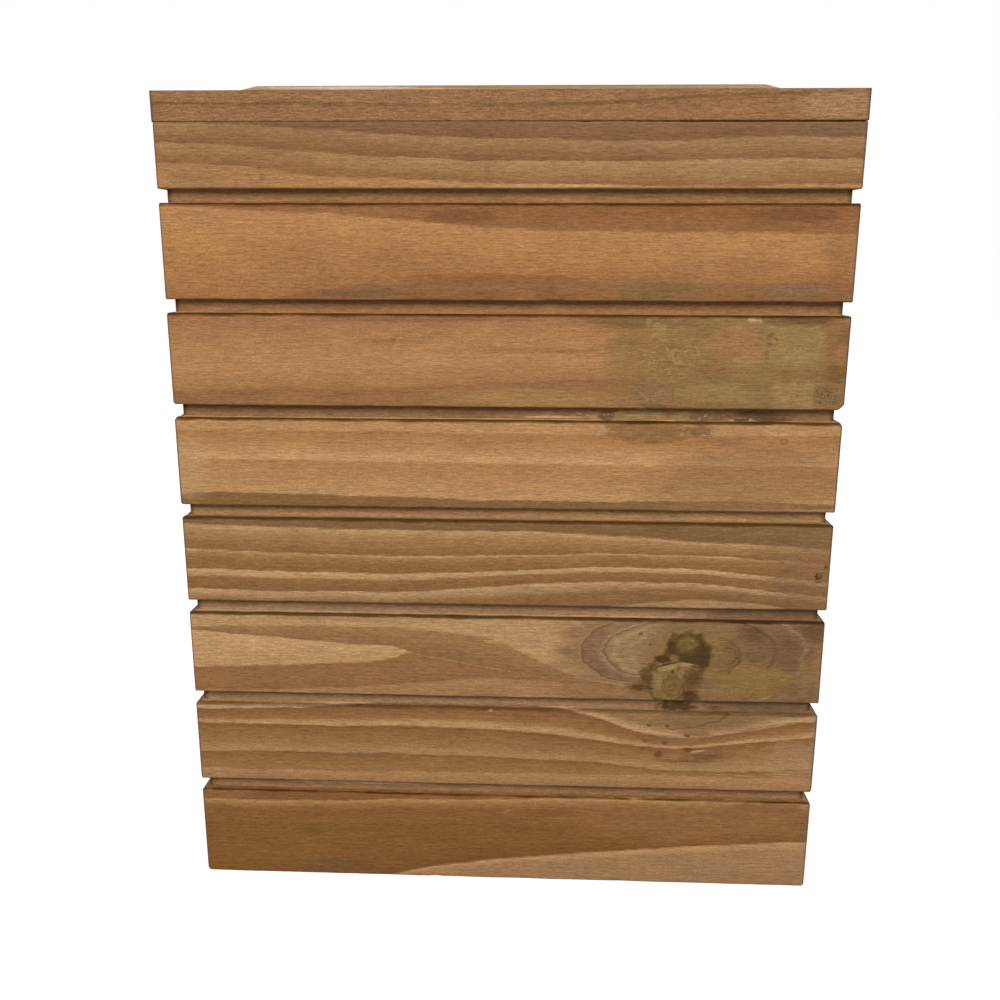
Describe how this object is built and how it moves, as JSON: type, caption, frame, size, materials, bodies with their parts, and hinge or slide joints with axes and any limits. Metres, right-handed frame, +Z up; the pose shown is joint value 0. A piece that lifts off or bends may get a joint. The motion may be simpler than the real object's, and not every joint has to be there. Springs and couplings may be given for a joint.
{
  "type": "wooden storage box",
  "caption": "Tall wooden storage box of channelled tongue-and-groove boards with mitred corners, an inner floor on bearers and a hinged framed lid with a raised panel.",
  "frame": {"origin": "on the ground, under the middle of the whole object, hinge barrels included", "axes": "+Z up, front towards -Y, width along X, hinges at the back towards +Y"},
  "size_m": [0.4, 0.3266, 0.505],
  "materials": {
    "wall_timber": "pressure-treated pine, planed, honey brown",
    "batten_timber": "pressure-treated pine, sawn",
    "floor_timber": "pressure-treated pine, sawn",
    "lid_timber": "pressure-treated pine, planed",
    "hinge_steel": "zinc-plated",
    "screw_steel": "yellow zinc-plated"
  },
  "bodies": {
    "box": {"front_board_1": "wall_timber", "front_board_2": "wall_timber", "front_board_3": "wall_timber", "front_board_4": "wall_timber", "front_board_5": "wall_timber", "front_board_6": "wall_timber", "front_board_7": "wall_timber", "front_board_8": "wall_timber", "right_board_1": "wall_timber", "right_board_2": "wall_timber", "right_board_3": "wall_timber", "right_board_4": "wall_timber", "right_board_5": "wall_timber", "right_board_6": "wall_timber", "right_board_7": "wall_timber", "right_board_8": "wall_timber", "back_board_1": "wall_timber", "back_board_2": "wall_timber", "back_board_3": "wall_timber", "back_board_4": "wall_timber", "back_board_5": "wall_timber", "back_board_6": "wall_timber", "back_board_7": "wall_timber", "back_board_8": "wall_timber", "left_board_1": "wall_timber", "left_board_2": "wall_timber", "left_board_3": "wall_timber", "left_board_4": "wall_timber", "left_board_5": "wall_timber", "left_board_6": "wall_timber", "left_board_7": "wall_timber", "left_board_8": "wall_timber", "front_left_post": "batten_timber", "front_right_post": "batten_timber", "back_left_post": "batten_timber", "back_right_post": "batten_timber", "front_floor_bearer": "batten_timber", "back_floor_bearer": "batten_timber", "floor_board_1": "floor_timber", "floor_board_2": "floor_timber", "floor_board_3": "floor_timber", "floor_board_4": "floor_timber", "hinge_left_box_leaf": "hinge_steel", "hinge_right_box_leaf": "hinge_steel", "hinge_left_pin": "hinge_steel", "hinge_right_pin": "hinge_steel", "batten_screws": "screw_steel", "floor_screws": "screw_steel", "hinge_box_screws": "screw_steel"},
    "lid": {"lid_front_rail": "lid_timber", "lid_back_rail": "lid_timber", "lid_left_rail": "lid_timber", "lid_right_rail": "lid_timber", "lid_panel_board_1": "lid_timber", "lid_panel_board_2": "lid_timber", "lid_panel_board_3": "lid_timber", "hinge_left_lid_leaf": "hinge_steel", "hinge_right_lid_leaf": "hinge_steel", "hinge_lid_screws": "screw_steel"}
  },
  "joints": [
    {"name": "lid_hinge", "type": "hinge", "parent": "box", "child": "lid", "pos_m": [0, 0.1603, 0.4788], "axis": [-1, 0, 0], "range_deg": [0, 200]}
  ]
}
